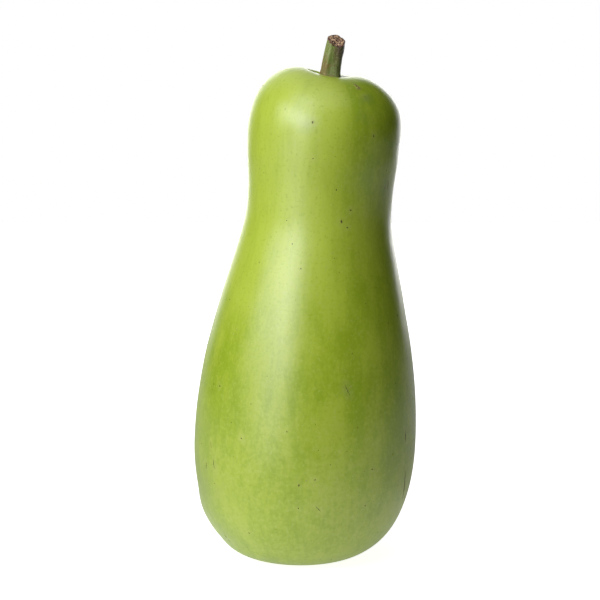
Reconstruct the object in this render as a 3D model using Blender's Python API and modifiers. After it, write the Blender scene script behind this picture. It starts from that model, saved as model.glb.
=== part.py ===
# A bottle gourd standing on its blossom end: the fruit and the stub of its stem.
# Metres, +Z up. The origin is under the middle of the belly, on the surface that the fruit stands on.

import math

import bmesh
import bpy
from mathutils import Matrix, Vector

# Driving dimensions of the fruit before it leans: radius and height of each level of its outline.
FOOT_RADIUS = 0.017
BELLY_RADIUS, BELLY_HEIGHT = 0.0605, 0.0655
WAIST_RADIUS, WAIST_HEIGHT = 0.039, 0.1950
HEAD_RADIUS, HEAD_HEIGHT = 0.0411, 0.2320
CREST_RADIUS, CREST_HEIGHT = 0.0140, 0.2685
SEAT_RADIUS, SEAT_HEIGHT = 0.0076, 0.2642
SCAR_RADIUS, SCAR_DEPTH = 0.005, 0.0012
SCAR_FLOOR_RADIUS = 0.0035

# How far the outline runs straight on from each level before it turns to the next.
FOOT_REACH = 0.0165
BELLY_DROP, BELLY_RISE = 0.0535, 0.059
WAIST_DROP, WAIST_RISE = 0.025, 0.020
HEAD_DROP, HEAD_RISE = 0.016, 0.0225
CREST_OUT, CREST_IN = 0.0135, 0.0035
SEAT_OUT = 0.0020

# The fruit grew leaning to +X: its middle line is upright at the foot and bends over with height.
FOOT_OFFSET = -0.0016
LEAN_HEIGHT = 0.25
LEAN_SQUARE, LEAN_CUBE = 0.025, -0.0127
CROWN_TILT = 0.06
CROWN_TILT_FROM, CROWN_TILT_TO = 0.22, 0.26

# Growth lobes, the furrow that crosses the crown in front of and behind the stem, and how far the
# crown droops on the side that the fruit leans to.
LOBES = 5
LOBE_SHARE = 0.004
LOBE_TURN = math.pi
FURROW_DEPTH = 0.0020
CROWN_DROOP = 0.0019

# How much fuller the shoulder is on the side that the fruit leans to, and the low belly and the foot on
# the other side, with the heights between which each swelling comes in.
SHOULDER_SHARE, SHOULDER_FROM, SHOULDER_TO = 0.095, 0.226, 0.262
LOW_SHARE, LOW_FROM, LOW_TO = 0.030, 0.024, 0.042
FOOT_SHARE, FOOT_FROM, FOOT_TO = 0.060, 0.002, 0.014

# The stem: a ridged stub cut slantwise.
STEM_RADIUS = 0.0050
STEM_LENGTH = 0.0193
STEM_BEYOND_CUT = 0.0100
STEM_OFFSET = 0.0016
STEM_RIDGES = 5
STEM_RIDGE_SHARE = 0.07
STEM_RIDGE_TURN = math.radians(22)
STEM_FOOT_SHARE, STEM_TIP_SHARE = 1.12, 0.92
STEM_LEAN_SIDE = 0.075
STEM_LEAN_FRONT = 0.20
CUT_SIDE, CUT_FRONT = 0.20, 0.64
CUTTER_SIDE = 0.040
JOIN_GAP = 0.0003

# How finely the meshes are divided, and how close two points are one.
AROUND = 42
STEPS_PER_ARC = 10
STEPS_TO_FOOT = 13
POINTS_PER_RIDGE = 6
STEM_STEPS = 8
SAME_POINT = 0.00001
SHARP_EDGE = math.radians(35)

# Base colour and roughness.
SKIN_GREEN, SKIN_ROUGHNESS = (0.37, 0.50, 0.04, 1.0), 0.36
STEM_GREEN, STEM_ROUGHNESS = (0.15, 0.17, 0.05, 1.0), 0.65


def clear_scene():
    for old in list(bpy.data.objects):
        bpy.data.objects.remove(old)


def new_collection(name):
    made = bpy.data.collections.new(name)
    bpy.context.scene.collection.children.link(made)
    return made


def new_material(name, colour, roughness):
    made = bpy.data.materials.new(name)
    made.use_nodes = True
    shader = made.node_tree.nodes["Principled BSDF"]
    shader.inputs["Base Color"].default_value = colour
    shader.inputs["Roughness"].default_value = roughness
    shader.inputs["Metallic"].default_value = 0.0
    return made


def smooth_step(value, low, high):
    share = min(1.0, max(0.0, (value - low) / (high - low)))
    return share * share * (3 - 2 * share)


def arc(start, start_handle, end_handle, end, steps):
    """Points along one cubic arc of an outline, without its first point."""
    found = []
    for i in range(1, steps + 1):
        t = i / steps
        weights = ((1 - t) ** 3, 3 * t * (1 - t) ** 2, 3 * t * t * (1 - t), t**3)
        corners = (start, start_handle, end_handle, end)
        radius = sum(w * p[0] for w, p in zip(weights, corners))
        height = sum(w * p[1] for w, p in zip(weights, corners))
        found.append((radius, height))
    return found


def fruit_outline():
    """(radius, height) from the middle of the stem's seat, over the crown and down to the blossom scar."""
    seat = (SEAT_RADIUS, SEAT_HEIGHT)
    crest = (CREST_RADIUS, CREST_HEIGHT)
    head = (HEAD_RADIUS, HEAD_HEIGHT)
    waist = (WAIST_RADIUS, WAIST_HEIGHT)
    belly = (BELLY_RADIUS, BELLY_HEIGHT)
    foot = (FOOT_RADIUS, 0.0)
    points = [(0.0, SEAT_HEIGHT), seat]
    points += arc(
        seat,
        (SEAT_RADIUS + SEAT_OUT, SEAT_HEIGHT),
        (CREST_RADIUS - CREST_IN, CREST_HEIGHT),
        crest,
        STEPS_PER_ARC // 2,
    )
    points += arc(
        crest,
        (CREST_RADIUS + CREST_OUT, CREST_HEIGHT),
        (HEAD_RADIUS, HEAD_HEIGHT + HEAD_RISE),
        head,
        STEPS_PER_ARC,
    )
    points += arc(
        head,
        (HEAD_RADIUS, HEAD_HEIGHT - HEAD_DROP),
        (WAIST_RADIUS, WAIST_HEIGHT + WAIST_RISE),
        waist,
        STEPS_PER_ARC // 2,
    )
    points += arc(
        waist,
        (WAIST_RADIUS, WAIST_HEIGHT - WAIST_DROP),
        (BELLY_RADIUS, BELLY_HEIGHT + BELLY_RISE),
        belly,
        STEPS_PER_ARC,
    )
    points += arc(
        belly,
        (BELLY_RADIUS, BELLY_HEIGHT - BELLY_DROP),
        (FOOT_RADIUS + FOOT_REACH, 0.0),
        foot,
        STEPS_TO_FOOT,
    )
    points += [(SCAR_RADIUS, 0.0), (SCAR_FLOOR_RADIUS, SCAR_DEPTH), (0.0, SCAR_DEPTH)]
    return points


def middle_line(height):
    """The middle line's distance to +X at this height, and how far it leans from upright there."""
    t = max(0.0, height) / LEAN_HEIGHT
    offset = FOOT_OFFSET + LEAN_SQUARE * t**2 + LEAN_CUBE * t**3
    slope = (2 * LEAN_SQUARE * t + 3 * LEAN_CUBE * t**2) / LEAN_HEIGHT
    tilt = math.atan(slope) + CROWN_TILT * smooth_step(height, CROWN_TILT_FROM, CROWN_TILT_TO)
    return offset, tilt


def leaned(x, y, height):
    """Where a point of the upright fruit goes as the fruit leans."""
    offset, tilt = middle_line(height)
    return Vector((offset + x * math.cos(tilt), y, height - x * math.sin(tilt)))


def fuller_share(angle, height):
    """How much further out than its outline the fruit swells at this angle and height."""
    toward = (1 + math.cos(angle)) / 2
    low = LOW_SHARE * (1 - smooth_step(height, LOW_FROM, LOW_TO))
    low += FOOT_SHARE * (1 - smooth_step(height, FOOT_FROM, FOOT_TO))
    high = SHOULDER_SHARE * smooth_step(height, SHOULDER_FROM, SHOULDER_TO)
    return high * toward**2 + low * (1 - toward) ** 2


def grown(point):
    """Where a point of the turned fruit goes, with its swellings, lobes, furrow and droop, and its lean."""
    radius = math.hypot(point.x, point.y)
    angle = math.atan2(point.y, point.x)
    radius *= 1 + fuller_share(angle, point.z)
    above_foot = smooth_step(point.z, 0.0, BELLY_HEIGHT / 2)
    below_crown = 1 - smooth_step(point.z, HEAD_HEIGHT, CREST_HEIGHT)
    lobe = math.cos(LOBES * angle + LOBE_TURN)
    radius *= 1 + LOBE_SHARE * lobe * above_foot * below_crown
    on_crown = smooth_step(point.z, HEAD_HEIGHT, CREST_HEIGHT)
    on_crown *= smooth_step(radius, SEAT_RADIUS, CREST_RADIUS)
    sunk = FURROW_DEPTH * math.sin(angle) ** 2 + CROWN_DROOP * (1 + math.cos(angle)) / 2
    height = point.z - sunk * on_crown
    return leaned(radius * math.cos(angle), radius * math.sin(angle), height)


def mesh_of(source):
    """The mesh that an object shows, with its modifiers or its bevel applied."""
    graph = bpy.context.evaluated_depsgraph_get()
    return bpy.data.meshes.new_from_object(source.evaluated_get(graph))


def make_fruit(parts):
    """The fruit: its outline turned about the middle line, then bent and lobed as it grew."""
    outline = bpy.data.meshes.new("fruit_outline")
    points = [(radius, 0.0, height) for radius, height in fruit_outline()]
    outline.from_pydata(points, [(i, i + 1) for i in range(len(points) - 1)], [])
    turned = bpy.data.objects.new("fruit_outline", outline)
    parts.objects.link(turned)
    screw = turned.modifiers.new("turn", "SCREW")
    screw.axis = "Z"
    screw.steps = screw.render_steps = AROUND
    screw.use_merge_vertices = True
    screw.merge_threshold = SAME_POINT
    mesh = mesh_of(turned)
    bpy.data.objects.remove(turned)
    for vertex in mesh.vertices:
        vertex.co = grown(vertex.co)
    mesh.shade_smooth()
    mesh.set_sharp_from_angle(angle=SHARP_EDGE)
    fruit = bpy.data.objects.new("fruit", mesh)
    parts.objects.link(fruit)
    mesh.materials.clear()
    mesh.materials.append(new_material("gourd_skin", SKIN_GREEN, SKIN_ROUGHNESS))
    return fruit


def stem_section():
    """The stem's ridged outline, as a closed flat curve."""
    count = STEM_RIDGES * POINTS_PER_RIDGE
    curve = bpy.data.curves.new("stem_section", "CURVE")
    curve.dimensions = "2D"
    spline = curve.splines.new("POLY")
    spline.points.add(count - 1)
    spline.use_cyclic_u = True
    for i in range(count):
        angle = math.tau * i / count
        ridge = 1 + STEM_RIDGE_SHARE * math.cos(STEM_RIDGES * (angle - STEM_RIDGE_TURN))
        radius = STEM_RADIUS * ridge
        spline.points[i].co = (radius * math.cos(angle), radius * math.sin(angle), 0, 1)
    return bpy.data.objects.new("stem_section", curve)


def stem_path():
    """The stem's middle line from its foot, which leans over more towards its cut end."""
    curve = bpy.data.curves.new("stem_path", "CURVE")
    curve.dimensions = "3D"
    curve.resolution_u = STEM_STEPS
    spline = curve.splines.new("BEZIER")
    spline.bezier_points.add(1)
    foot, tip = spline.bezier_points
    length = STEM_LENGTH + STEM_BEYOND_CUT
    lean = Vector((STEM_LEAN_SIDE, -STEM_LEAN_FRONT, 1.0)).normalized()
    foot.co = (0, 0, 0)
    foot.handle_left = (0, 0, -length / 3)
    foot.handle_right = (0, 0, length / 3)
    tip.co = lean * length
    tip.handle_left = tip.co - lean * length / 3
    tip.handle_right = tip.co + lean * length / 3
    foot.radius = STEM_FOOT_SHARE
    tip.radius = STEM_TIP_SHARE
    return bpy.data.objects.new("stem", curve)


def make_stem_cutter(cutters):
    """A block whose lower face is the slanting cut at the stem's end."""
    bpy.ops.mesh.primitive_cube_add(size=1)
    cutter = bpy.context.object
    cutter.name = "stem_cutter"
    for owner in list(cutter.users_collection):
        owner.objects.unlink(cutter)
    cutters.objects.link(cutter)
    cutter.data.transform(Matrix.Translation((0, 0, 0.5)))
    cutter.data.transform(Matrix.Scale(CUTTER_SIDE, 4))
    cutter.hide_render = True
    cutter.display_type = "WIRE"
    return cutter


def make_stem(parts, cutters):
    """The stem stub, standing on the fruit's seat with a hairline gap and cut off slantwise."""
    section = stem_section()
    cutters.objects.link(section)
    section.hide_render = True
    path = stem_path()
    parts.objects.link(path)
    path.data.bevel_mode = "OBJECT"
    path.data.bevel_object = section
    offset, tilt = middle_line(SEAT_HEIGHT)
    on_seat = Matrix.Translation((offset + STEM_OFFSET, 0, SEAT_HEIGHT)) @ Matrix.Rotation(tilt, 4, "Y")
    path.matrix_world = on_seat @ Matrix.Translation((0, 0, JOIN_GAP))
    bpy.context.view_layer.update()

    mesh = mesh_of(path)
    work = bmesh.new()
    work.from_mesh(mesh)
    bmesh.ops.remove_doubles(work, verts=work.verts, dist=SAME_POINT)
    bmesh.ops.holes_fill(work, edges=work.edges)
    bmesh.ops.recalc_face_normals(work, faces=work.faces)
    work.to_mesh(mesh)
    work.free()
    stem = bpy.data.objects.new("stem_stub", mesh)
    stem.matrix_world = path.matrix_world
    bpy.data.objects.remove(path)
    bpy.data.objects.remove(section)
    parts.objects.link(stem)
    stem.name = "stem"
    mesh.materials.append(new_material("stem_bark", STEM_GREEN, STEM_ROUGHNESS))

    cutter = make_stem_cutter(cutters)
    normal = Vector((CUT_SIDE, -CUT_FRONT, 1.0)).normalized()
    lean = Vector((STEM_LEAN_SIDE, -STEM_LEAN_FRONT, 1.0)).normalized()
    turn = normal.to_track_quat("Z", "Y").to_matrix().to_4x4()
    cutter.matrix_world = stem.matrix_world @ Matrix.Translation(lean * STEM_LENGTH) @ turn
    cut = stem.modifiers.new("slanting_cut", "BOOLEAN")
    cut.operation = "DIFFERENCE"
    cut.solver = "EXACT"
    cut.object = cutter
    return stem


def main():
    clear_scene()
    parts = new_collection("bottle_gourd")
    cutters = new_collection("cutters")
    make_fruit(parts)
    make_stem(parts, cutters)


main()
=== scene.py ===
import math

import bmesh
import bpy
from mathutils import Matrix, Vector, noise
from mathutils.bvhtree import BVHTree
from mathutils.kdtree import KDTree


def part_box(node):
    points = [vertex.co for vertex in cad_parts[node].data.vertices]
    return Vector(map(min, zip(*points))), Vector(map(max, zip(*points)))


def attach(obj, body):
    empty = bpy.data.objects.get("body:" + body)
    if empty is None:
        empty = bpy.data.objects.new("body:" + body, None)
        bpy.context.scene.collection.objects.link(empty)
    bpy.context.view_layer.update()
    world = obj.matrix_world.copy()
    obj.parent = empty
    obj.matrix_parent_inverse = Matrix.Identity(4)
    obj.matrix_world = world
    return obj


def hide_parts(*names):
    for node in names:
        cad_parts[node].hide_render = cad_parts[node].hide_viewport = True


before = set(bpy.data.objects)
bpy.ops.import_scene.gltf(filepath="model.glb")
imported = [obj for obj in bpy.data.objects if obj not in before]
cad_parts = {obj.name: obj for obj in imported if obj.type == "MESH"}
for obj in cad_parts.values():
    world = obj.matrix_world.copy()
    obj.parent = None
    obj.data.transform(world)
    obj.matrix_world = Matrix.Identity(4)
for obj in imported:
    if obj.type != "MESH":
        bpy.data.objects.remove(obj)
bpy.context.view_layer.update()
fruitLow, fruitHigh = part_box("fruit")
fruitHeight = fruitHigh.z - fruitLow.z
bellyRadius = (fruitHigh.y - fruitLow.y) / 2
mm = 0.001


# one socket of a node tree, so that sums on it read as sums
class Wire:
    def __init__(self, board, socket):
        self.board = board
        self.socket = socket

    def calc(self, operation, other, flipped=False):
        pair = (other, self) if flipped else (self, other)
        if not any(isinstance(p, Wire) and p.socket.type == "VECTOR" for p in pair):
            return self.board.math(operation, *pair)
        if operation == "MULTIPLY" and not isinstance(other, tuple):  # a vector times a number
            vector, number = (self, other) if self.socket.type == "VECTOR" else (other, self)
            feeds = {0: vector, "Scale": number}
            return self.board.node("ShaderNodeVectorMath", {"operation": "SCALE"}, feeds)
        return self.board.vectorMath(operation, *pair)

    def __add__(self, other):
        return self.calc("ADD", other)

    def __radd__(self, other):
        return self.calc("ADD", other, True)

    def __sub__(self, other):
        return self.calc("SUBTRACT", other)

    def __rsub__(self, other):
        return self.calc("SUBTRACT", other, True)

    def __mul__(self, other):
        return self.calc("MULTIPLY", other)

    def __rmul__(self, other):
        return self.calc("MULTIPLY", other, True)

    def __truediv__(self, other):
        return self.calc("DIVIDE", other)

    def __rtruediv__(self, other):
        return self.calc("DIVIDE", other, True)

    def sin(self):
        return self.board.math("SINE", self)

    def cos(self):
        return self.board.math("COSINE", self)

    def atan(self):
        return self.board.math("ARCTANGENT", self)

    def most(self, other):
        return self.board.math("MAXIMUM", self, other)

    def length(self):
        return self.board.node("ShaderNodeVectorMath", {"operation": "LENGTH"}, {0: self}, "Value")

    def ease(self, low, high, start=0.0, end=1.0):  # a smooth step from low to high
        ends = {"Value": self, "From Min": low, "From Max": high, "To Min": start, "To Max": end}
        return self.board.node("ShaderNodeMapRange", {"interpolation_type": "SMOOTHSTEP"}, ends)

    def split(self):
        return [self.board.node("ShaderNodeSeparateXYZ", {}, {0: self}, axis) for axis in "XYZ"]

    def of(self, name):  # another output of the same node
        return Wire(self.board, self.socket.node.outputs[name])


# a node tree that is being laid out
class Board:
    def __init__(self, tree):
        self.tree = tree

    def feed(self, socket, value):
        if isinstance(value, Wire):
            self.tree.links.new(value.socket, socket)
        elif socket.type == "VECTOR" and isinstance(value, (int, float)):
            socket.default_value = (value,) * 3
        else:
            socket.default_value = value

    def node(self, kind, settings=None, feeds=None, out=0):
        made = self.tree.nodes.new(kind)
        for name, value in (settings or {}).items():
            setattr(made, name, value)
        for key, value in (feeds or {}).items():
            self.feed(made.inputs[key], value)
        return Wire(self, made.outputs[out]) if len(made.outputs) else None

    def math(self, operation, *values):
        return self.node("ShaderNodeMath", {"operation": operation}, dict(enumerate(values)))

    def vectorMath(self, operation, *values):
        return self.node("ShaderNodeVectorMath", {"operation": operation}, dict(enumerate(values)))

    def vector(self, x, y, z):
        return self.node("ShaderNodeCombineXYZ", {}, {0: x, 1: y, 2: z})

    def mix(self, share, first, second):  # colours
        return self.node("ShaderNodeMix", {"data_type": "RGBA"}, {0: share, 6: first, 7: second}, 2)

    def noise(self, place, scale, detail=2.0, rough=0.5, warp=0.0):
        feeds = {"Vector": place, "Scale": scale, "Detail": detail, "Roughness": rough, "Distortion": warp}
        return self.node("ShaderNodeTexNoise", {}, feeds)

    def noises(self, place, rows):  # by name, from rows of stretch, scale, detail, roughness, distortion
        return {name: self.noise(place * stretch, *rest) for name, (stretch, *rest) in rows.items()}

    def attribute(self, name, out="Fac"):
        return self.node("ShaderNodeAttribute", {"attribute_name": name}, {}, out)


def weighted(parts, weights):  # the sum of the named parts, each times its weight; "one" is a fixed share
    return sum(parts[name] * weight for name, weight in weights.items())


# a geometry tree with named inputs; makeFromTree turns its result into a plain mesh
def newGeometryTree(name, inputs):
    tree = bpy.data.node_groups.new(name, "GeometryNodeTree")
    tree.interface.new_socket("Geometry", in_out="INPUT", socket_type="NodeSocketGeometry")
    for label, kind in inputs.items():
        tree.interface.new_socket(label, in_out="INPUT", socket_type="NodeSocket" + kind)
    tree.interface.new_socket("Geometry", in_out="OUTPUT", socket_type="NodeSocketGeometry")
    board = Board(tree)
    entry = board.node("NodeGroupInput")
    return tree, board, {label: entry.of(label) for label in ["Geometry", *inputs]}


def endGeometryTree(board, geometry, material):
    real = board.node("GeometryNodeRealizeInstances", {}, {0: geometry})
    smooth = board.node("GeometryNodeSetShadeSmooth", {}, {0: real})
    painted = board.node("GeometryNodeSetMaterial", {}, {"Geometry": smooth, "Material": material})
    board.node("NodeGroupOutput", {}, {0: painted})


def makeFromTree(name, tree, values, start=None):
    piece = bpy.data.objects.new(name, start or bpy.data.meshes.new(name))
    bpy.context.scene.collection.objects.link(piece)
    modifier = piece.modifiers.new("grow", "NODES")
    modifier.node_group = tree
    for item in tree.interface.items_tree:
        if item.in_out == "INPUT" and item.name in values:
            modifier[item.identifier] = values[item.name]
    graph = bpy.context.evaluated_depsgraph_get()
    mesh = bpy.data.meshes.new_from_object(
        piece.evaluated_get(graph), preserve_all_data_layers=True, depsgraph=graph
    )
    piece.modifiers.remove(modifier)
    piece.data = mesh
    return piece


def newMaterial(name):
    material = bpy.data.materials.new(name)
    material.use_nodes = True
    material.node_tree.nodes.clear()
    return material, Board(material.node_tree)


def endMaterial(board, steady, varying):
    shader = board.node("ShaderNodeBsdfPrincipled", {}, {**steady, **varying})
    board.node("ShaderNodeOutputMaterial", {}, {"Surface": shader})


print("stage 1: the gourd's skin")

gourd = {
    "rowsDown": 300,
    "facesAround": 256,
    # radius as a share of the belly's, height as a share of the fruit's, reach before and reach after
    "outline": {
        "middle": (0.0, 0.979, (0.0, 0.0), (0.03, 0.0)),
        "seat": (0.126, 0.979, (-0.03, 0.0), (0.033, 0.0)),
        "crest": (0.232, 0.995, (-0.058, 0.0), (0.223, 0.0)),
        "head": (0.680, 0.860, (0.0, 0.083), (0.0, -0.059)),
        "waist": (0.6455, 0.7225, (0.0, 0.074), (0.0, -0.093)),
        "belly": (1.0, 0.243, (0.0, 0.2185), (0.0, -0.198)),
        "foot": (0.281, 0.0, (0.273, 0.0), (-0.06, 0.0)),
        "scarRim": (0.083, 0.0, (0.02, 0.0), (-0.012, 0.001)),
        "scarFloor": (0.0, 0.0045, (0.04, 0.0), (0.0, 0.0)),
    },
    "footOffset": -1.6 * mm,  # the lean of the middle line to +X
    "leanHeight": 250.0 * mm,
    "leanSquare": 25.0 * mm,
    "leanCube": -12.7 * mm,
    "crownTilt": 0.06,
    "lobes": 5,
    "lobeShare": 0.004,
    "furrow": 2.0 * mm,
    "crownDroop": 1.9 * mm,
    "backDroop": 0.8 * mm,
    "tiltHeights": (0.815 * fruitHeight, 0.963 * fruitHeight),  # where the crown's tilt sets in
    # how much fuller the shoulder is toward +X, and the low belly and the foot away from it
    "shoulder": 0.095,
    "shoulderHeights": (226.0 * mm, 262.0 * mm),
    "lowBelly": 0.030,
    "lowBellyHeights": (24.0 * mm, 42.0 * mm),
    "footSwell": 0.060,
    "footSwellHeights": (2.0 * mm, 14.0 * mm),
    "weld": 0.01 * mm,  # closes the seam and the poles
    "swell": 0.45 * mm,  # slow unevenness of the growth
    "swellSize": 38.0 * mm,
    "ribs": 0.035 * mm,  # faint long ribs, with their stretch, scale and detail
    "ribNoise": ((1.0, 1.0, 0.06), 150.0, 2.0),
    "pleats": 0.12 * mm,  # short pleats round the stem's seat
    "pleatNoise": ((1.0, 1.0, 0.3), 210.0, 1.0),
    "pleatReach": 0.45 * bellyRadius,
    "evenHeights": (0.2 * mm, 0.06 * fruitHeight),  # the foot stays even
    "seed": 3.0,
}


def outlineCurve():
    levels = gourd["outline"].values()
    curve = bpy.data.curves.new("gourdOutline", "CURVE")
    curve.dimensions = "3D"
    curve.resolution_u = 160
    spline = curve.splines.new("BEZIER")
    spline.bezier_points.add(len(levels) - 1)
    for point, (radius, height, before, after) in zip(spline.bezier_points, levels):
        place = Vector((radius * bellyRadius, 0, height * fruitHeight))
        point.handle_left_type = point.handle_right_type = "FREE"
        point.co = place
        point.handle_left = place + Vector((before[0] * bellyRadius, 0, before[1] * fruitHeight))
        point.handle_right = place + Vector((after[0] * bellyRadius, 0, after[1] * fruitHeight))
    outline = bpy.data.objects.new("gourdOutline", curve)
    bpy.context.scene.collection.objects.link(outline)
    return outline


def gourdTree():
    kinds = {int: "Int", float: "Float"}
    inputs = {"outline": "Object", "material": "Material"}
    inputs |= {name: kinds[type(value)] for name, value in gourd.items() if type(value) in kinds}
    tree, board, given = newGeometryTree("growGourd", inputs)
    levels = gourd["outline"]
    heights = {name: level[1] * fruitHeight for name, level in levels.items()}
    radii = {name: level[0] * bellyRadius for name, level in levels.items()}

    size = {"Size X": 1.0, "Size Y": 1.0}
    counts = {"Vertices X": given["rowsDown"] + 1, "Vertices Y": given["facesAround"] + 1}
    sheet = board.node("GeometryNodeMeshGrid", {}, {**size, **counts})
    down, turn, _ = board.node("GeometryNodeInputPosition").split()
    down = down + 0.5
    angle = (turn + 0.5) * math.tau

    curve = board.node("GeometryNodeObjectInfo", {}, {"Object": given["outline"]}, "Geometry")
    feeds = {"Curves": curve, "Factor": down}
    onCurve = board.node("GeometryNodeSampleCurve", {"mode": "FACTOR"}, feeds, "Position")
    radius, _, height = onCurve.split()
    length = board.node("GeometryNodeCurveLength", {}, {0: curve})

    # the fuller shoulder and the fuller low belly
    toward = (1 + angle.cos()) / 2
    behind = (1 + angle.sin()) / 2
    low = given["lowBelly"] * height.ease(*gourd["lowBellyHeights"], 1.0, 0.0)
    low = low + given["footSwell"] * height.ease(*gourd["footSwellHeights"], 1.0, 0.0)
    fuller = given["shoulder"] * height.ease(*gourd["shoulderHeights"]) * toward * toward
    radius = radius * (1 + fuller + low * (1 - toward) * (1 - toward))

    # faint growth lobes, and the furrow and droop of the crown
    lobe = (angle * given["lobes"] + math.pi).cos()
    onCrown = height.ease(heights["head"], heights["crest"])
    aboveFoot = height.ease(0.0, heights["belly"] / 2)
    radius = radius * (lobe * given["lobeShare"] * aboveFoot * (1 - onCrown) + 1)
    offSeat = radius.ease(radii["seat"], radii["crest"])
    sunk = given["furrow"] * angle.sin() * angle.sin()
    sunk = sunk + given["crownDroop"] * toward + given["backDroop"] * behind
    height = height - sunk * onCrown * offSeat

    # the lean
    share = height.most(0.0) / given["leanHeight"]
    offset = given["footOffset"] + share * share * (given["leanSquare"] + share * given["leanCube"])
    slope = share * (2 * given["leanSquare"] + 3 * given["leanCube"] * share) / given["leanHeight"]
    tilt = slope.atan() + given["crownTilt"] * height.ease(*gourd["tiltHeights"])
    sideways = radius * angle.cos()
    place = board.vector(
        offset + sideways * tilt.cos(),
        radius * angle.sin(),
        height - sideways * tilt.sin(),
    )

    # a place on the skin that runs round it and down it, for what follows the growth
    grain = board.vector(angle.cos() * bellyRadius, angle.sin() * bellyRadius, down * length)
    kept = {"Geometry": sheet, "Name": "skinGrain", "Value": grain}
    sheet = board.node("GeometryNodeStoreNamedAttribute", {"data_type": "FLOAT_VECTOR"}, kept)
    sheet = board.node("GeometryNodeSetPosition", {}, {"Geometry": sheet, "Position": place})
    sheet = board.node("GeometryNodeMergeByDistance", {}, {"Geometry": sheet, "Distance": given["weld"]})

    # unevenness, along the normals
    def uneven(place, scale, detail):
        return (board.noise(place + given["seed"], scale, detail) - 0.5) * 2

    grain = board.node("GeometryNodeInputNamedAttribute", {"data_type": "FLOAT_VECTOR"}, {0: "skinGrain"})
    where = board.node("GeometryNodeInputPosition")
    _, _, up = where.split()
    _, _, run = grain.split()
    ribStretch, *ribRest = gourd["ribNoise"]
    pleatStretch, *pleatRest = gourd["pleatNoise"]
    nearSeat = run.ease(radii["seat"], given["pleatReach"], 1.0, 0.0)
    lift = uneven(where, 1 / given["swellSize"], 1.0) * given["swell"]
    lift = lift + uneven(grain * ribStretch, *ribRest) * given["ribs"]
    lift = lift + uneven(grain * pleatStretch, *pleatRest) * nearSeat * given["pleats"]
    lift = lift * up.ease(*gourd["evenHeights"])
    normal = board.node("GeometryNodeInputNormal")
    sheet = board.node("GeometryNodeSetPosition", {}, {"Geometry": sheet, "Offset": normal * lift})
    endGeometryTree(board, sheet, given["material"])
    return tree


skin = {
    "light": (0.395, 0.510, 0.036, 1),
    "deep": (0.280, 0.405, 0.014, 1),
    "pale": (0.455, 0.550, 0.120, 1),
    # the lighter tint towards the crown, held off the right side as painted shade
    "upperTint": (0.480, 0.605, 0.066, 1),
    "halo": (0.560, 0.600, 0.200, 1),
    # the bruise colour, also painted as shade along the left edge
    "paintedShadeAndBruise": (0.215, 0.310, 0.065, 1),
    # the yellower tint round the stem, made paler as painted light in the shaded hollow of the seat
    "seat": (0.420, 0.500, 0.160, 1),
    # stretch, scale, detail, roughness and distortion of the streaks down the growth, and of the clouds
    "streaks": {
        "broad": ((1.0, 1.0, 0.35), 62.0, 3.0, 0.55, 0.5),
        "fine": ((1.0, 1.0, 0.22), 300.0, 3.0, 0.6, 0.4),
        "hair": ((1.0, 1.0, 0.60), 700.0, 2.0, 0.6, 0.0),
    },
    "clouds": {
        "cloud": ((1.0, 1.0, 0.7), 26.0, 3.0, 0.5, 0.5),
        "patch": ((1.0, 1.0, 1.3), 170.0, 3.0, 0.6, 0.6),
        "pore": ((1.0, 1.0, 1.0), 620.0, 3.0, 0.7, 0.0),
    },
    # what each of them adds to a fixed share
    "lightness": {"one": 0.54, "broad": 1.5, "fine": 1.0, "hair": 1.0, "cloud": 1.6, "patch": 0.9},
    "upperTintShare": {"one": 0.80, "cloud": 0.5, "broad": 0.6, "fine": 0.5},
    "mottle": {"one": 0.5, "patch": 0.8, "cloud": 0.5, "broad": 0.4},
    "haloShare": {"one": 0.75, "patch": 1.0},
    "shadeAndBruiseShare": {"one": 0.9, "patch": 1.4},
    "seatTintAndLightShare": {"one": 0.45, "fine": 1.0},
    "roughness": {"one": 0.31, "cloud": 0.10, "patch": 0.10, "fine": 0.08, "halo": 0.12},
    "relief": {"pore": 0.60, "patch": 0.45, "fine": 0.30, "hair": 0.30},
    # where each change starts and ends, and how strong it is, at both ends where four values stand
    "upperTintHeights": (0.40 * fruitHeight, 0.68 * fruitHeight),
    # painted shade: the lighter tint fades out across the right side
    "paintedShadeAcross": (0.0, 0.60 * bellyRadius, 1.0, -0.1),
    "mottleHeights": (0.20 * fruitHeight, 0.48 * fruitHeight),
    "mottleSpan": (0.42, 0.72),
    "mottleShares": (0.04, 0.26),
    "palePores": (0.02, 0.22),
    "palePoreShare": 0.55,
    "deepPores": (-0.04, -0.22),
    "deepPoreShare": 0.60,
    "seatTintAndLightReach": (0.10 * bellyRadius, 0.26 * bellyRadius),
    "bump": 0.20,
    "bumpDepth": 0.5 * mm,
    "shader": {
        "Subsurface Weight": 0.10,
        "Subsurface Radius": (0.004, 0.005, 0.0015),
        "Subsurface Scale": 1.0,
        "IOR": 1.75,
    },
}


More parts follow.
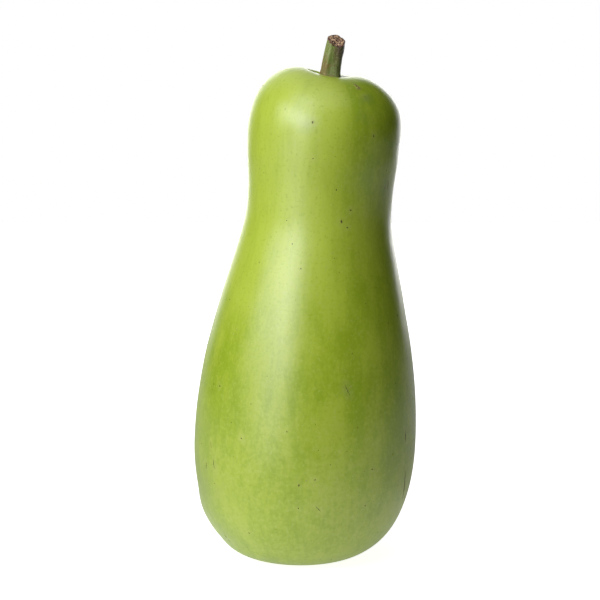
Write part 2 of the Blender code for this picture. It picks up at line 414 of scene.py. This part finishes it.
def gourdSkinMaterial():
    material, board = newMaterial("waxyGourdSkin")
    place = board.node("ShaderNodeTexCoord", {}, {}, "Object")
    grain = board.attribute("skinGrain", "Vector")
    paintedShadeAndBruise = board.attribute("paintedShadeAndBruise")
    _, _, height = place.split()
    side, _, run = grain.split()
    parts = {"one": 1.0, "halo": board.attribute("halo")}
    patterns = board.noises(grain, skin["streaks"]) | board.noises(place, skin["clouds"])
    parts |= {name: pattern - 0.5 for name, pattern in patterns.items()}

    def share(name):
        return weighted(parts, skin[name])

    colour = board.mix(share("lightness").ease(0.0, 1.0), skin["deep"], skin["light"])

    # lighter towards the crown, but painted shade keeps the right side darker; paler mottling towards the
    # foot
    high = height.ease(*skin["upperTintHeights"]) * side.ease(*skin["paintedShadeAcross"])
    colour = board.mix(high * share("upperTintShare"), colour, skin["upperTint"])
    low = height.ease(*skin["mottleHeights"], 1.0, 0.0)
    even, mottled = skin["mottleShares"]
    mottle = share("mottle").ease(*skin["mottleSpan"])
    colour = board.mix(low * (even + mottle * mottled), colour, skin["pale"])

    # pores, halos round the marks, bruises, and painted shade along the left edge
    pale = parts["pore"].ease(*skin["palePores"]) * skin["palePoreShare"]
    deep = parts["pore"].ease(*skin["deepPores"]) * skin["deepPoreShare"]
    colour = board.mix(deep, board.mix(pale, colour, skin["pale"]), skin["deep"])
    colour = board.mix(parts["halo"] * share("haloShare"), colour, skin["halo"])
    colour = board.mix(paintedShadeAndBruise * share("shadeAndBruiseShare"), colour, skin["paintedShadeAndBruise"])

    # a yellower tint round the stem, paler as painted light that lifts the shade in the seat's hollow
    nearSeat = run.ease(*skin["seatTintAndLightReach"], 1.0, 0.0)
    colour = board.mix(nearSeat * share("seatTintAndLightShare"), colour, skin["seat"])

    bump = {"Strength": skin["bump"], "Distance": skin["bumpDepth"], "Height": share("relief")}
    normal = board.node("ShaderNodeBump", {}, bump)
    varying = {"Base Color": colour, "Roughness": share("roughness"), "Normal": normal}
    endMaterial(board, skin["shader"], varying)
    return material


outline = outlineCurve()
skinMaterial = gourdSkinMaterial()
gourdSkin = makeFromTree("gourdSkin", gourdTree(), gourd | {"outline": outline, "material": skinMaterial})
bpy.data.objects.remove(outline)
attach(gourdSkin, "root")
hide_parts("fruit")


print("stage 2: specks, scabs and cracks of the skin")

blemishes = {
    # turn from +X in degrees, height and size in millimetres: the spots that show most
    "spots": {
        "brow": (-100, 244, 0.50),
        "temple": (-52, 236, 0.45),
        "throat": (-98, 225, 0.35),
        "waistUpper": (-66, 197, 0.50),
        "waistPit": (-73, 191, 0.75),
        "waistLower": (-68, 188, 0.45),
        "chest": (-101, 167, 0.35),
        "leftEdge": (-145, 102, 0.45),
        "leftSide": (-125, 77, 0.40),
        "leftFoot": (-123, 24, 0.40),
        "frontFoot": (-93, 54, 0.50),
        "frontLow": (-93, 41, 0.34),
        "frontPair": (-85, 57, 0.40),
        "rightPair": (-54, 60, 0.40),
        "rightLowPaintedLight": (-56, 40, 0.38),
        "crownScab": (-54, 261, 0.32),
        "crownScabEdge": (-55.5, 262, 0.24),
        "crownPit": (-52, 256, 0.28),
    },
    # turn and height of the middle, how many, how far out, largest size
    "flecks": {
        "crownFlecks": (-54, 261, 15, 2.6, 0.66),
        "waistFlecks": (-30, 208, 9, 3.4, 0.36),
        "frontFlecks": (-70, 104, 6, 3.0, 0.30),
        "lowFlecks": (-88, 56, 6, 3.4, 0.30),
        "rightFlecks": (-54, 60, 9, 3.6, 0.32),
        "sideFlecks": (-36, 66, 7, 4.0, 0.30),
    },
    # turn and height of the middle, reach in millimetres, strength
    "paintedShadeAndBruises": {
        "crownBruise": (-51, 255, 5.5, 0.75),
        "browBruise": (-104, 243, 6.5, 0.50),
        "shoulderBruise": (-60, 246, 6.0, 0.35),
        "waistBruise": (-30, 206, 8.0, 0.40),
        "frontBruise": (-70, 104, 5.0, 0.40),
        "sideBruise": (-40, 60, 9.0, 0.25),
        # painted shade: two darker places along the left edge
        "leftShade": (-174, 70, 28.0, 0.25),
        "leftShadeLow": (-166, 44, 30.0, 0.45),
    },
    # turn and height where it starts and ends, half width
    "cracks": {
        "rightUpper": (-28, 77, -28, 70, 0.28),
        "rightLong": (-26, 54, -21, 36, 0.34),
        "middleScratch": (-71, 107, -68, 101, 0.17),
        "frontScratch": (-84, 42, -81, 39, 0.17),
        "waistFold": (-28, 211, -26, 205, 0.22),
        "leftTick": (-152, 59, -152, 55, 0.18),
        "leftTickSecond": (-145, 62, -144, 57, 0.20),
        "leftTickThird": (-148, 71, -147, 68, 0.15),
    },
    "stations": 14,  # of a crack
    "sides": 8,
    "crackSway": 0.9,
    "crackTip": 0.12,
    "crackUneven": 0.5,
    "crackDepth": 0.3,
    "fleckSpread": 1.4,
    "fleckCrowding": 0.7,
    "fleckLeast": 0.35,
    "haloReach": 3.4 * mm,
    "haloWeight": 0.22,
    "haloFade": 0.7,
    "shadeAndBruiseUneven": 0.5,
    "shadeAndBruiseWaves": 190,
    # a spot is a lump and two smaller ones that run into it
    "lumpOffsets": (0.0, 0.9, 1.3),
    "lumpSizes": (0.9, 0.5, 0.35),
    "lumpShape": (1.15, 0.75, 0.35),
    "lumpWave": 0.8,
    "lumpWaves": 1.9,
}
scatter = {
    "darkSpecks": {
        "specksEach": 1800.0,  # to the square metre
        "smallest": 0.14 * mm,
        "largest": 0.36 * mm,
        "flatness": 0.45,
        "seed": 11,
    },
    "paleSpecks": {
        "specksEach": 2600.0,
        "smallest": 0.14 * mm,
        "largest": 0.40 * mm,
        "flatness": 0.14,
        "seed": 23,
    },
}
speckStretch = {"Min": 0.7, "Max": 1.5}
speckTones = {
    "corkFlecks": ((0.260, 0.200, 0.075, 1), (0.640, 0.560, 0.300, 1)),
    "darkSpecks": ((0.055, 0.055, 0.016, 1), (0.190, 0.140, 0.050, 1)),
    "paleSpecks": ((0.420, 0.500, 0.100, 1), (0.520, 0.540, 0.190, 1)),
}


def speckMaterial(name):
    material, board = newMaterial(name)
    place = board.node("ShaderNodeTexCoord", {}, {}, "Object")
    change = board.noise(place, 240.0, 3.0, 0.7)
    colour = board.mix(change.ease(0.40, 0.60), *speckTones[name])
    endMaterial(board, {"Roughness": 0.7, "Specular IOR Level": 0.2}, {"Base Color": colour})
    return material


skinTree = BVHTree.FromPolygons(
    [v.co for v in gourdSkin.data.vertices], [tuple(p.vertices) for p in gourdSkin.data.polygons]
)


def onSkin(turn, height):  # the place and the normal where a level line at this turn leaves the skin
    share = height / gourd["leanHeight"]
    offset = gourd["footOffset"] + share**2 * (gourd["leanSquare"] + share * gourd["leanCube"])
    way = Vector((math.cos(math.radians(turn)), math.sin(math.radians(turn)), 0))
    place, normal, _, _ = skinTree.ray_cast(Vector((offset, 0, height)), way)
    return place, normal


def addSpot(work, place, normal, size, index):
    turned = normal.to_track_quat("Z", "Y").to_matrix().to_4x4()
    turned = Matrix.Translation(place) @ turned @ Matrix.Rotation(index * 1.9, 4, "Z")
    shape = Vector(blemishes["lumpShape"])
    for part, (away, share) in enumerate(zip(blemishes["lumpOffsets"], blemishes["lumpSizes"])):
        angle = math.tau * noise.random()
        offset = Vector((math.cos(angle), math.sin(angle), 0)) * size * away
        made = bmesh.ops.create_icosphere(work, subdivisions=2, radius=size * share)
        for vertex in made["verts"]:
            where = vertex.co.normalized() * blemishes["lumpWaves"]
            wave = noise.noise(where + Vector((index * 3.7, part * 2.3, 0)))  # each lump differs
            vertex.co = vertex.co * (1 + blemishes["lumpWave"] * wave) * shape + offset
        bmesh.ops.transform(work, matrix=turned, verts=made["verts"])


def joinRings(work, rings):
    for low, high in zip(rings, rings[1:]):
        for j in range(len(low)):
            n = (j + 1) % len(low)
            work.faces.new((low[j], low[n], high[n], high[j]))


def addCrack(work, start, end, width, index):  # a thin strip that sways and tapers to both ends
    rings = []
    last = blemishes["stations"] - 1
    for i in range(blemishes["stations"]):
        t = i / last
        middle = math.sin(math.pi * t)
        sway = blemishes["crackSway"] * noise.noise(Vector((t * 4, index * 5.1, 0))) * middle
        turn = start[0] + (end[0] - start[0]) * t + sway
        place, normal = onSkin(turn, start[1] + (end[1] - start[1]) * t)
        ahead, _ = onSkin(turn, start[1] + (end[1] - start[1]) * (t + 0.02))
        along = (ahead - place).normalized()
        across = along.cross(normal).normalized()
        uneven = 1 + blemishes["crackUneven"] * noise.noise(Vector((t * 9, 0, index)))
        half = width * (blemishes["crackTip"] + middle**0.7) * uneven
        ring = []
        for j in range(blemishes["sides"]):
            angle = math.tau * j / blemishes["sides"]
            out = across * math.cos(angle) + normal * math.sin(angle) * blemishes["crackDepth"]
            ring.append(work.verts.new(place + out * half))
        rings.append(ring)
    joinRings(work, rings)
    work.faces.new(rings[0])
    work.faces.new(rings[-1])


def plainPiece(name, work, material):
    bmesh.ops.recalc_face_normals(work, faces=work.faces)
    mesh = bpy.data.meshes.new(name)
    work.to_mesh(mesh)
    work.free()
    mesh.shade_smooth()
    mesh.materials.append(material)
    piece = bpy.data.objects.new(name, mesh)
    bpy.context.scene.collection.objects.link(piece)
    return piece


def makeFlecks(material):  # small groups of pale corky flecks
    noise.seed_set(5)
    work = bmesh.new()
    least = blemishes["fleckLeast"]
    for turn, height, count, reach, size in blemishes["flecks"].values():
        for index in range(count):
            angle = math.tau * noise.random()
            away = reach * noise.random() ** blemishes["fleckCrowding"]
            aside = math.degrees(away * mm * math.cos(angle) / bellyRadius) * blemishes["fleckSpread"]
            place, normal = onSkin(turn + aside, (height + away * math.sin(angle)) * mm)
            addSpot(work, place, normal, size * (least + (1 - least) * noise.random()) * mm, index)
    return plainPiece("paleFlecks", work, material)


def makeMarks(material):
    noise.seed_set(7)
    work = bmesh.new()
    middles = []
    for index, (turn, height, size) in enumerate(blemishes["spots"].values()):
        place, normal = onSkin(turn, height * mm)
        addSpot(work, place, normal, size * mm, index)
        middles.append(place)
    for index, (turnA, heightA, turnB, heightB, width) in enumerate(blemishes["cracks"].values()):
        addCrack(work, (turnA, heightA * mm), (turnB, heightB * mm), width * mm, index)
        for share in (0.0, 0.5, 1.0):
            height = (heightA + (heightB - heightA) * share) * mm
            middles.append(onSkin(turnA + (turnB - turnA) * share, height)[0])
    return plainPiece("gourdMarks", work, material), middles


def speckTree():
    inputs = {"specksEach": "Float", "smallest": "Float", "largest": "Float", "flatness": "Float"}
    inputs |= {"seed": "Int", "material": "Material"}
    tree, board, given = newGeometryTree("scatterSpecks", inputs)
    feeds = {"Mesh": given["Geometry"], "Density": given["specksEach"], "Seed": given["seed"]}
    points = board.node("GeometryNodeDistributePointsOnFaces", {}, feeds)
    lump = board.node("GeometryNodeMeshIcoSphere", {}, {"Radius": 1.0, "Subdivisions": 1})
    span = {"Min": given["smallest"], "Max": given["largest"], "Seed": given["seed"]}
    size = board.node("FunctionNodeRandomValue", {"data_type": "FLOAT"}, span, 1)
    stretch = board.node("FunctionNodeRandomValue", {"data_type": "FLOAT"}, speckStretch, 1)
    scale = board.vector(size, size * stretch, size * given["flatness"])
    feeds = {"Points": points, "Instance": lump, "Rotation": points.of("Rotation"), "Scale": scale}
    specks = board.node("GeometryNodeInstanceOnPoints", {}, feeds)
    endGeometryTree(board, specks, given["material"])
    return tree


def addHalo(mesh, middles):  # paler skin round each mark, kept as an attribute
    finder = KDTree(len(middles))
    for index, place in enumerate(middles):
        finder.insert(place, index)
    finder.balance()
    layer = mesh.attributes.new("halo", "FLOAT", "POINT")
    values = []
    for vertex in mesh.vertices:
        _, _, away = finder.find(vertex.co)
        near = max(0.0, 1 - away / blemishes["haloReach"])
        values.append(blemishes["haloWeight"] * near ** blemishes["haloFade"])
    layer.data.foreach_set("value", values)


# bruises, and painted shade along the left edge
def addPaintedShadeAndBruises(mesh):  # soft grey-green places, kept as an attribute
    paintedShadeAndBruises = []
    for turn, height, reach, strength in blemishes["paintedShadeAndBruises"].values():
        paintedShadeAndBruises.append((onSkin(turn, height * mm)[0], reach * mm, strength))
    layer = mesh.attributes.new("paintedShadeAndBruise", "FLOAT", "POINT")
    values = []
    for vertex in mesh.vertices:
        uneven = 1 + blemishes["shadeAndBruiseUneven"] * noise.noise(vertex.co * blemishes["shadeAndBruiseWaves"])
        values.append(max(s * max(0.0, 1 - (vertex.co - p).length * uneven / r) for p, r, s in paintedShadeAndBruises))
    layer.data.foreach_set("value", values)


tones = {name: speckMaterial(name) for name in scatter}
gourdMarks, markMiddles = makeMarks(tones["darkSpecks"])
addHalo(gourdSkin.data, markMiddles)
addPaintedShadeAndBruises(gourdSkin.data)
blemished = [gourdMarks, makeFlecks(speckMaterial("corkFlecks"))]
speckTreeMade = speckTree()
for name, values in scatter.items():
    given = values | {"material": tones[name]}
    blemished.append(makeFromTree(name, speckTreeMade, given, gourdSkin.data.copy()))
for piece in blemished:
    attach(piece, "root")


print("stage 3: the stem")

stem = {
    "radius": 4.8 * mm,
    "length": 20.0 * mm,
    "beyond": 30.0 * mm,  # its bend runs on past the cut
    "sink": 1.6 * mm,
    "startSide": 0.101,  # how far the stem leans for each unit that it rises
    "leanSide": 0.178,
    "leanFront": 0.203,
    "cutSide": 0.30,
    "cutFront": 0.66,
    "cutShare": 0.975,
    "footShare": 1.12,
    "tipShare": 0.92,
    "ridges": 5,
    "ridgeShare": 0.050,
    "ridgeTurn": math.radians(22),
    "flare": 0.10,  # at the foot
    "flareReach": 0.10,
    "fibres": (900, 900, 60),
    "fibreHeight": 0.13 * mm,
    "knots": (260, 260, 130),
    "knotFloor": 0.12,
    "knotHeight": 0.7 * mm,
    "rimRough": 0.75 * mm,
    "rimReach": 0.10,
    "rimWaves": ((1.7, (4, 8, 1), 1.0), (4.3, (2, 5, 9), 0.6)),  # scale, shift and share
    # the cut: coarse and fine roughness, a raised lip and a sunken pith
    "coarse": 0.55 * mm,
    "coarseScale": 900,
    "gritty": 0.30 * mm,
    "grittyScale": 2600,
    "lip": 0.30 * mm,
    "lipPlace": 0.90,
    "lipWidth": 0.10,
    "pith": 0.25 * mm,
    "pithReach": 0.55,
    "around": 128,
    "rows": 90,
    "capRings": 26,
}


def stemFoot():
    corners = [v.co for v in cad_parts["stem"].data.vertices]
    low = min(c.z for c in corners)
    foot = [c for c in corners if c.z < low + stem["sink"]]
    return sum(foot, Vector()) / len(foot)


def bumps(place, scale, shift=(0, 0, 0)):
    return noise.noise(Vector([p * s + o for p, s, o in zip(place, scale, shift)]))


def ridgeWave(angle):
    return math.cos(stem["ridges"] * (angle - stem["ridgeTurn"]))


def makeStem(material):
    foot = stemFoot()
    start = Vector((stem["startSide"], 0, 1)).normalized()
    lean = Vector((stem["leanSide"], -stem["leanFront"], 1)).normalized()
    cut = Vector((stem["cutSide"], -stem["cutFront"], 1)).normalized()
    length = stem["beyond"]
    turned = Matrix.Rotation(math.atan(stem["startSide"]), 3, "Y")
    cutCentre = foot + lean * stem["length"] * stem["cutShare"]
    across = (turned @ Vector((1, 0, 0)), turned @ Vector((0, 1, 0)))

    def middle(t):  # along the bend of the stem
        a, b = foot, foot + start * length / 3
        c, d = foot + lean * length * 2 / 3, foot + lean * length
        return (1 - t) ** 3 * a + 3 * t * (1 - t) ** 2 * b + 3 * t * t * (1 - t) * c + t**3 * d

    def side(t, angle):
        ridge = 1 + stem["ridgeShare"] * ridgeWave(angle)
        share = stem["footShare"] + (stem["tipShare"] - stem["footShare"]) * min(1, max(0, t))
        flare = stem["flare"] * max(0.0, 1 - max(0.0, t) / stem["flareReach"]) ** 2
        tangent = (middle(t + 0.01) - middle(t - 0.01)).normalized()
        out = across[0] * math.cos(angle) + across[1] * math.sin(angle)
        out = (out - tangent * out.dot(tangent)).normalized()
        return middle(t) + out * stem["radius"] * ridge * (share + flare), out

    def endOf(angle):  # where the line at this angle meets the slanting cut
        low, high = 0.0, 1.0
        for _ in range(24):
            half = (low + high) / 2
            if (side(half, angle)[0] - cutCentre).dot(cut) < 0:
                low = half
            else:
                high = half
        return low

    work = bmesh.new()
    grainLayer = work.verts.layers.float_vector.new("stemGrain")
    cutLayer = work.verts.layers.float.new("cutShare")  # 0 on the bark, 1 on the cut
    ridgeLayer = work.verts.layers.float.new("ridgeShare")
    count = stem["around"]
    angles = [math.tau * j / count for j in range(count)]
    ends = [endOf(a) for a in angles]
    sinkShare = stem["sink"] / length
    rings = []
    for i in range(stem["rows"] + 1):
        ring = []
        for angle, end in zip(angles, ends):
            t = -sinkShare + (end + sinkShare) * i / stem["rows"]
            place, out = side(t, angle)
            grain = Vector((math.cos(angle), math.sin(angle), 0)) * stem["radius"]
            grain.z = t * length
            fibre = bumps(grain, stem["fibres"]) * stem["fibreHeight"]
            knot = max(0.0, bumps(grain, stem["knots"], (0, 0, 7)) - stem["knotFloor"]) * stem["knotHeight"]
            tip = max(0.0, 1 - (1 - i / stem["rows"]) / stem["rimReach"])
            rough = sum(w * noise.noise(out * scale + Vector(shift)) for scale, shift, w in stem["rimWaves"])
            vertex = work.verts.new(place + out * (fibre + knot) + cut * rough * tip * stem["rimRough"])
            vertex[grainLayer] = grain
            vertex[ridgeLayer] = ridgeWave(angle)
            ring.append(vertex)
        rings.append(ring)
    rim = [v.co.copy() for v in rings[-1]]
    centre = sum(rim, Vector()) / count
    for k in range(1, stem["capRings"]):
        ring = []
        share = 1 - k / stem["capRings"]
        for j, angle in enumerate(angles):
            flat = centre.lerp(rim[j], share)
            grain = Vector((math.cos(angle) * share, math.sin(angle) * share, 0)) * stem["radius"]
            raised = noise.noise(grain * stem["coarseScale"] + Vector((3, 1, 5))) * stem["coarse"]
            raised += noise.noise(grain * stem["grittyScale"] + Vector((9, 2, 4))) * stem["gritty"]
            raised += math.exp(-(((share - stem["lipPlace"]) / stem["lipWidth"]) ** 2)) * stem["lip"]
            raised -= max(0.0, 1 - share / stem["pithReach"]) * stem["pith"]
            vertex = work.verts.new(flat + cut * raised * min(1.0, k / 2))
            vertex[grainLayer] = grain
            vertex[cutLayer] = 1.0
            ring.append(vertex)
        rings.append(ring)
    joinRings(work, rings)
    for ring, cutShare in ((rings[0], 0.0), (rings[-1], 1.0)):
        pole = work.verts.new(sum((v.co for v in ring), Vector()) / count)
        pole[cutLayer] = cutShare
        for j in range(count):
            work.faces.new((ring[j], ring[(j + 1) % count], pole))
    for vertex in rings[stem["rows"]]:  # the rim
        vertex[cutLayer] = 0.6
    return plainPiece("gourdStem", work, material)


bark = {
    "green": (0.135, 0.180, 0.028, 1),
    "fresh": (0.215, 0.270, 0.065, 1),
    "stripe": (0.290, 0.330, 0.150, 1),
    "tan": (0.235, 0.150, 0.050, 1),
    "olive": (0.165, 0.135, 0.055, 1),
    "plum": (0.130, 0.080, 0.068, 1),
    "pith": (0.660, 0.460, 0.265, 1),
    "rim": (0.105, 0.040, 0.036, 1),
    # which way round each side of the bark faces, and the span over which bark counts as facing there
    "sides": {
        "left": (math.radians(214), (0.35, 0.90)),
        "middle": (math.radians(272), (0.975, 1.0)),
        "right": (math.radians(-30), (0.45, 1.0)),
    },
    # stretch, scale, detail, roughness and distortion
    "noises": {
        "fibre": ((1.0, 1.0, 0.08), 1300.0, 3.0, 0.65, 0.0),
        "stripe": ((1.0, 1.0, 0.10), 460.0, 2.0, 0.5, 0.0),
        "knot": ((1.0, 1.0, 0.50), 420.0, 4.0, 0.65, 0.5),
        "ends": ((1.0, 1.0, 1.0), 950.0, 4.0, 0.7, 0.4),
    },
    # what the noises and the sides add to each change of the bark
    "cork": {"one": -1.6, "leftLow": 1.0, "knot": 2.4, "fibre": 0.8},
    "age": {"one": -1.6, "right": 0.75, "top": 0.9, "knot": 1.8, "fibre": 1.4},
    "blotch": {"knot": 1.0, "ends": 0.5},
    # the fleck mix also paints light low on the right side
    "paintedLightAndFleck": {"ends": 1.0, "knot": 0.3, "rightLowPaintedLight": 1.0},
    "grit": {"ends": 1.0, "knot": 0.5},
    "relief": {"fibre": 0.6, "knot": 0.5, "ends": 0.5},
    # where each change starts and ends, and its strength at both ends where four values stand
    "freshSpan": (0.42, 0.60),
    "freshRise": (0.25, 0.75, 0.0, 0.8),
    "stripeRise": (0.15, 0.7, 0.7, 0.0),
    "ridgeSpan": (0.80, 1.0, 0.0, 0.6),
    "corkRise": (0.10, 0.85, 0.85, 0.0),
    "corkSpan": (0.30, 0.75, 0.0, 0.85),
    "footRise": (0.02, 0.12, 0.7, 0.0),
    "footSpan": (0.38, 0.5),
    "ageRise": (0.25, 0.85),
    "ageSpan": (0.35, 0.80, 0.0, 0.85),
    "plumSpan": (1.35, 1.90),
    "blotchSpan": (0.91, 0.99, 0.0, 0.8),
    "rightPaintedLightRise": (0.1, 0.7, 0.16, 0.04),
    "paintedLightAndFleckSpan": (0.68, 0.78, 0.0, 0.75),
    "gritSpan": (0.65, 0.87),
    "rimSpan": (0.66, 1.0),
    "rimBreak": 1.25,
    "cutSpan": (0.35, 0.75),
    "leftFresh": 0.7,  # how far the left side keeps from ageing
    "bump": 0.8,
    "bumpDepth": 0.4 * mm,
    "roughness": {"one": 0.52, "fibre": 0.2},
}


def stemMaterial():
    material, board = newMaterial("ridgedStemBark")
    grain = board.attribute("stemGrain", "Vector")
    cutShare = board.attribute("cutShare")
    ridge = board.attribute("ridgeShare")
    across, deep, run = grain.split()
    up = run / stem["length"]

    # the parts that each change is a sum of
    parts = {"one": 1.0} | board.noises(grain, bark["noises"])
    for name, (turn, span) in bark["sides"].items():
        east, north = math.cos(turn) / stem["radius"], math.sin(turn) / stem["radius"]
        parts[name] = (across * east + deep * north).ease(*span)
    left, right, ends = parts["left"], parts["right"], parts["ends"]
    parts["leftLow"] = left * up.ease(*bark["corkRise"])
    parts["top"] = up.ease(*bark["ageRise"]) * (1 - left * bark["leftFresh"])
    # painted light: paler low on the right side of the stem
    parts["rightLowPaintedLight"] = right * up.ease(*bark["rightPaintedLightRise"])

    # green bark with fresher stripes, and pale lines along the ridges
    colour = board.mix(parts["stripe"].ease(*bark["freshSpan"]), bark["green"], bark["fresh"])
    colour = board.mix(left * up.ease(*bark["freshRise"]), colour, bark["fresh"])
    colour = board.mix(parts["middle"] * up.ease(*bark["stripeRise"]), colour, bark["stripe"])
    colour = board.mix(ridge.ease(*bark["ridgeSpan"]), colour, bark["stripe"])

    # tan cork low on the left and round the foot
    colour = board.mix(weighted(parts, bark["cork"]).ease(*bark["corkSpan"]), colour, bark["tan"])
    atFoot = up.ease(*bark["footRise"]) * parts["knot"].ease(*bark["footSpan"])
    colour = board.mix(atFoot, colour, bark["tan"])

    # browner towards the cut and on the right, with blotches, pale flecks and painted light low on the right
    age = weighted(parts, bark["age"])
    colour = board.mix(age.ease(*bark["ageSpan"]), colour, bark["olive"])
    colour = board.mix((age + ends).ease(*bark["plumSpan"]), colour, bark["plum"])
    colour = board.mix(weighted(parts, bark["blotch"]).ease(*bark["blotchSpan"]), colour, bark["plum"])
    colour = board.mix(weighted(parts, bark["paintedLightAndFleck"]).ease(*bark["paintedLightAndFleckSpan"]), colour, bark["stripe"])

    # the cut: pale pith, dark rim
    radius = (grain * (1.0, 1.0, 0.0)).length() / stem["radius"]
    end = board.mix(weighted(parts, bark["grit"]).ease(*bark["gritSpan"]), bark["rim"], bark["pith"])
    end = board.mix(radius.ease(*bark["rimSpan"]) * (bark["rimBreak"] - ends), end, bark["rim"])
    colour = board.mix(cutShare.ease(*bark["cutSpan"]), colour, end)

    relief = weighted(parts, bark["relief"])
    bump = {"Strength": bark["bump"], "Distance": bark["bumpDepth"], "Height": relief}
    normal = board.node("ShaderNodeBump", {}, bump)
    rough = weighted(parts, bark["roughness"])
    endMaterial(board, {}, {"Base Color": colour, "Roughness": rough, "Normal": normal})
    return material


gourdStem = makeStem(stemMaterial())
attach(gourdStem, "root")
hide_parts("stem")


print("stage 4: floor, light and camera")

studio = {
    "elevation": math.radians(10),
    "distance": 1.5,
    "lens": 165.7,
    "sensor": 36,
    "aim": Vector((-3.1 * mm, 0, 142.7 * mm)),
    # turn from the front to the right, rise, where the glow starts to fade and where it ends (all in
    # degrees), strength
    "softLights": {
        "keyLeft": (-68, 26, 4, 20, 3.3),
        "keyMiddle": (-46, 26, 4, 20, 3.9),
        "keyRight": (-26, 26, 4, 20, 2.7),
        "keyHigh": (-42, 54, 4, 24, 2.3),
        "keyLow": (-34, 10, 4, 18, 2.0),
        "ceiling": (-30, 78, 8, 40, 0.8),
        "cardLeft": (-78, -12, 5, 26, 0.3),
        "cardMiddle": (-50, -14, 5, 26, 1.6),
        "cardFront": (-24, -8, 5, 26, 0.5),
        "backLeft": (-172, 0, 8, 36, 1.8),
        "backRight": (170, -14, 8, 35, 3.1),
        "backHigh": (-158, 42, 5, 36, 0.6),
    },
    "floorSize": 1.6,
    "floorBack": 0.45,
    "floorTone": 0.62,
    "floorGlow": 0.34,  # round the foot, fading between the two reaches
    "glowReaches": (0.08, 0.20),
    "floorWhite": 0.88,  # as the camera sees it
}


def addWorld():
    world = bpy.data.worlds.new("studio")
    world.use_nodes = True
    world.node_tree.nodes.clear()
    board = Board(world.node_tree)
    facing = board.node("ShaderNodeTexCoord", {}, {}, "Generated")
    total = 0.0
    for turn, rise, inner, outer, strength in studio["softLights"].values():
        turn, rise = math.radians(turn), math.radians(rise)
        way = (math.sin(turn) * math.cos(rise), -math.cos(turn) * math.cos(rise), math.sin(rise))
        dot = {"operation": "DOT_PRODUCT"}
        near = board.node("ShaderNodeVectorMath", dot, {0: facing, 1: way}, "Value")
        total = near.ease(math.cos(math.radians(outer)), math.cos(math.radians(inner))) * strength + total
    camera = board.node("ShaderNodeLightPath", {}, {}, "Is Camera Ray")
    seen = board.node("ShaderNodeBackground", {}, {"Color": (1, 1, 1, 1), "Strength": 1.0})
    given = board.node("ShaderNodeBackground", {}, {"Color": (1, 1, 1, 1), "Strength": total})
    both = board.node("ShaderNodeMixShader", {}, {0: camera, 1: given, 2: seen})
    board.node("ShaderNodeOutputWorld", {}, {"Surface": both})
    bpy.context.scene.world = world


def addFloor():
    bpy.ops.mesh.primitive_plane_add(size=studio["floorSize"], location=(0, studio["floorBack"], 0))
    floor = bpy.context.object
    floor.name = "floor"
    material, board = newMaterial("paleFloor")
    camera = board.node("ShaderNodeLightPath", {}, {}, "Is Camera Ray")
    place = board.node("ShaderNodeNewGeometry", {}, {}, "Position")
    near = place.length().ease(*studio["glowReaches"], studio["floorGlow"], 0.0)
    tone = studio["floorTone"]
    steady = {"Base Color": (tone, tone, tone, 1), "Roughness": 0.9, "Emission Strength": 1.0}
    endMaterial(board, steady, {"Emission Color": near.most(camera * studio["floorWhite"])})
    floor.data.materials.append(material)


def addCamera():
    camera = bpy.data.cameras.new("camera")
    camera.lens = studio["lens"]
    camera.sensor_width = studio["sensor"]
    eye = bpy.data.objects.new("camera", camera)
    back = Vector((0, -math.cos(studio["elevation"]), math.sin(studio["elevation"])))
    eye.location = studio["aim"] + back * studio["distance"]
    eye.rotation_euler = back.to_track_quat("Z", "Y").to_euler()
    bpy.context.scene.collection.objects.link(eye)
    bpy.context.scene.camera = eye


addFloor()
addWorld()
addCamera()
bpy.context.scene.view_settings.view_transform = "Standard"
